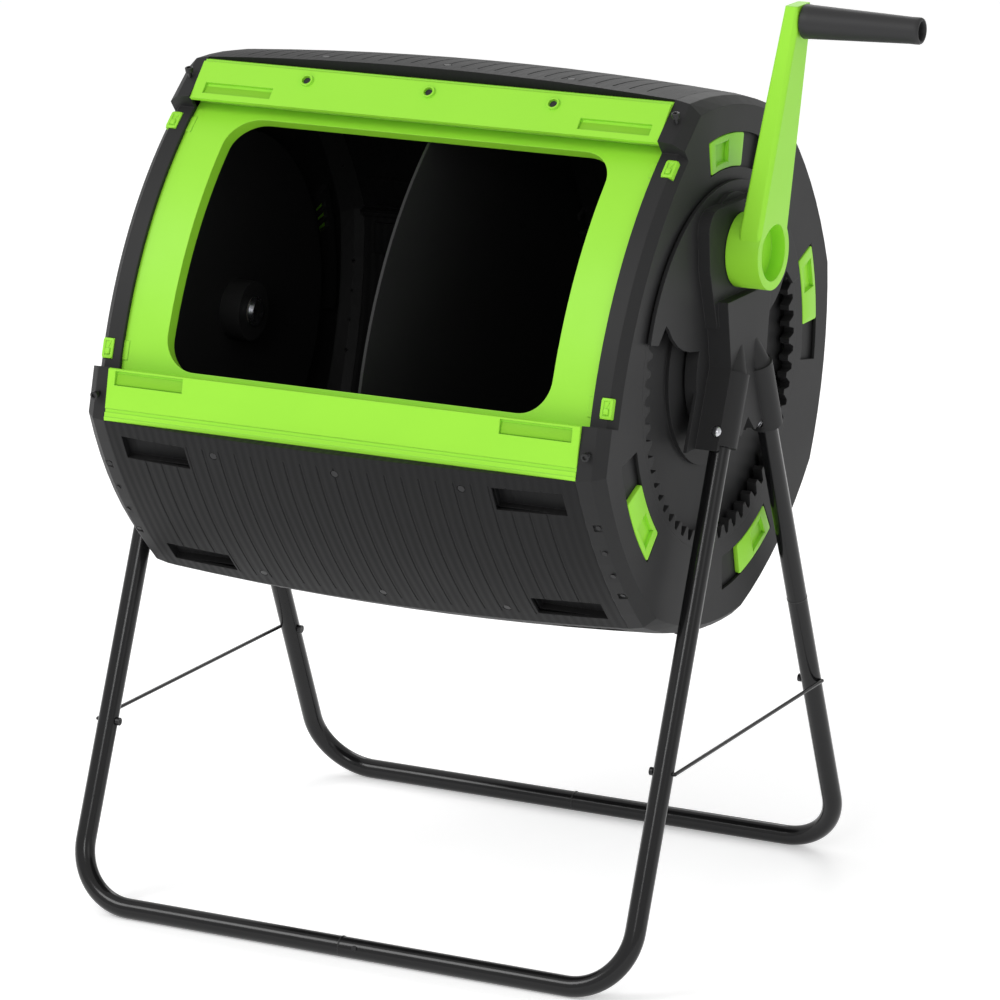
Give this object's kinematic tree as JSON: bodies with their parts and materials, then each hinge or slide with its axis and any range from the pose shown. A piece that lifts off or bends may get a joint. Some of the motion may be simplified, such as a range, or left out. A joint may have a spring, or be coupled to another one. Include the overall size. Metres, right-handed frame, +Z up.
{
  "type": "compost tumbler",
  "caption": "Crank-turned compost drum with a green door frame, a divider and sliding vents, geared at its end cap and carried on a folded steel tube stand.",
  "frame": {"origin": "on the floor, under the middle of the stand", "axes": "+X towards the crank side along the drum's axis, +Y to the rear, +Z up; the door opening looks to the front, -Y, and upwards"},
  "size_m": [1.105, 0.7636, 1.278],
  "materials": {
    "green_plastic": "satin, fine moulded grain",
    "dark_plastic": "matte, moulded grain",
    "black_tube": "gloss powder coat",
    "black_screw": "satin black",
    "zinc_steel": "bright zinc",
    "bush_plastic": "satin nylon"
  },
  "bodies": {
    "stand": {"front_left_leg": "black_tube", "front_right_leg": "black_tube", "rear_left_foot": "black_tube", "rear_right_foot": "black_tube", "rear_left_leg": "black_tube", "rear_right_leg": "black_tube", "tube_buttons": "black_screw", "left_brace_rod": "black_tube", "right_brace_rod": "black_tube", "rod_caps": "black_screw", "left_bracket": "dark_plastic", "right_bracket": "dark_plastic", "socket_bolts": "zinc_steel", "socket_nuts": "zinc_steel", "left_axle": "zinc_steel", "right_axle": "zinc_steel", "axle_clips": "zinc_steel", "crank_bush": "bush_plastic"},
    "drum": {"left_end_cap": "dark_plastic", "right_end_cap": "dark_plastic", "ring_gear": "dark_plastic", "left_hub_bush": "bush_plastic", "right_hub_bush": "bush_plastic", "top_panel": "dark_plastic", "rear_top_panel": "dark_plastic", "rear_panel": "dark_plastic", "rear_low_panel": "dark_plastic", "bottom_panel": "dark_plastic", "front_low_panel": "dark_plastic", "door_frame": "green_plastic", "upper_rail": "green_plastic", "lower_rail": "green_plastic", "divider": "dark_plastic", "rail_screws": "black_screw", "panel_screws": "black_screw", "left_rim_screws": "black_screw", "right_rim_screws": "black_screw", "corner_screws": "black_screw"},
    "crank": {"pinion": "bush_plastic", "crank_shaft": "zinc_steel", "crank_arm": "green_plastic", "crank_pin": "zinc_steel", "grip_pin": "zinc_steel"},
    "grip_sleeve": {"grip": "dark_plastic"},
    "left_vent_1": {"left_vent_slider_1": "green_plastic"},
    "left_vent_2": {"left_vent_slider_2": "green_plastic"},
    "left_vent_3": {"left_vent_slider_3": "green_plastic"},
    "left_vent_4": {"left_vent_slider_4": "green_plastic"},
    "right_vent_1": {"right_vent_slider_1": "green_plastic"},
    "right_vent_2": {"right_vent_slider_2": "green_plastic"},
    "right_vent_3": {"right_vent_slider_3": "green_plastic"},
    "right_vent_4": {"right_vent_slider_4": "green_plastic"}
  },
  "joints": [
    {"name": "drum_spin", "type": "hinge", "parent": "stand", "child": "drum", "pos_m": [0, 0, 0.783], "axis": [1, 0, 0], "continuous": true},
    {"name": "crank_spin", "type": "hinge", "parent": "stand", "child": "crank", "pos_m": [0.42, 0, 0.944], "axis": [1, 0, 0], "continuous": true},
    {"name": "grip_spin", "type": "hinge", "parent": "crank", "child": "grip_sleeve", "pos_m": [0.58, 0, 1.255], "axis": [1, 0, 0], "continuous": true},
    {"name": "left_vent_1_slide", "type": "hinge", "parent": "drum", "child": "left_vent_1", "pos_m": [-0.386, 0, 0.783], "axis": [-1, 0, 0], "range_deg": [0, 10]},
    {"name": "left_vent_2_slide", "type": "hinge", "parent": "drum", "child": "left_vent_2", "pos_m": [-0.386, 0, 0.783], "axis": [-1, 0, 0], "range_deg": [0, 10]},
    {"name": "left_vent_3_slide", "type": "hinge", "parent": "drum", "child": "left_vent_3", "pos_m": [-0.386, 0, 0.783], "axis": [-1, 0, 0], "range_deg": [0, 10]},
    {"name": "left_vent_4_slide", "type": "hinge", "parent": "drum", "child": "left_vent_4", "pos_m": [-0.386, 0, 0.783], "axis": [-1, 0, 0], "range_deg": [0, 10]},
    {"name": "right_vent_1_slide", "type": "hinge", "parent": "drum", "child": "right_vent_1", "pos_m": [0.386, 0, 0.783], "axis": [-1, 0, 0], "range_deg": [0, 10]},
    {"name": "right_vent_2_slide", "type": "hinge", "parent": "drum", "child": "right_vent_2", "pos_m": [0.386, 0, 0.783], "axis": [-1, 0, 0], "range_deg": [0, 10]},
    {"name": "right_vent_3_slide", "type": "hinge", "parent": "drum", "child": "right_vent_3", "pos_m": [0.386, 0, 0.783], "axis": [-1, 0, 0], "range_deg": [0, 10]},
    {"name": "right_vent_4_slide", "type": "hinge", "parent": "drum", "child": "right_vent_4", "pos_m": [0.386, 0, 0.783], "axis": [-1, 0, 0], "range_deg": [0, 10]}
  ],
  "couplings": [
    {"joint": "crank_spin", "follows": "drum_spin", "ratio": 3.3333}
  ]
}
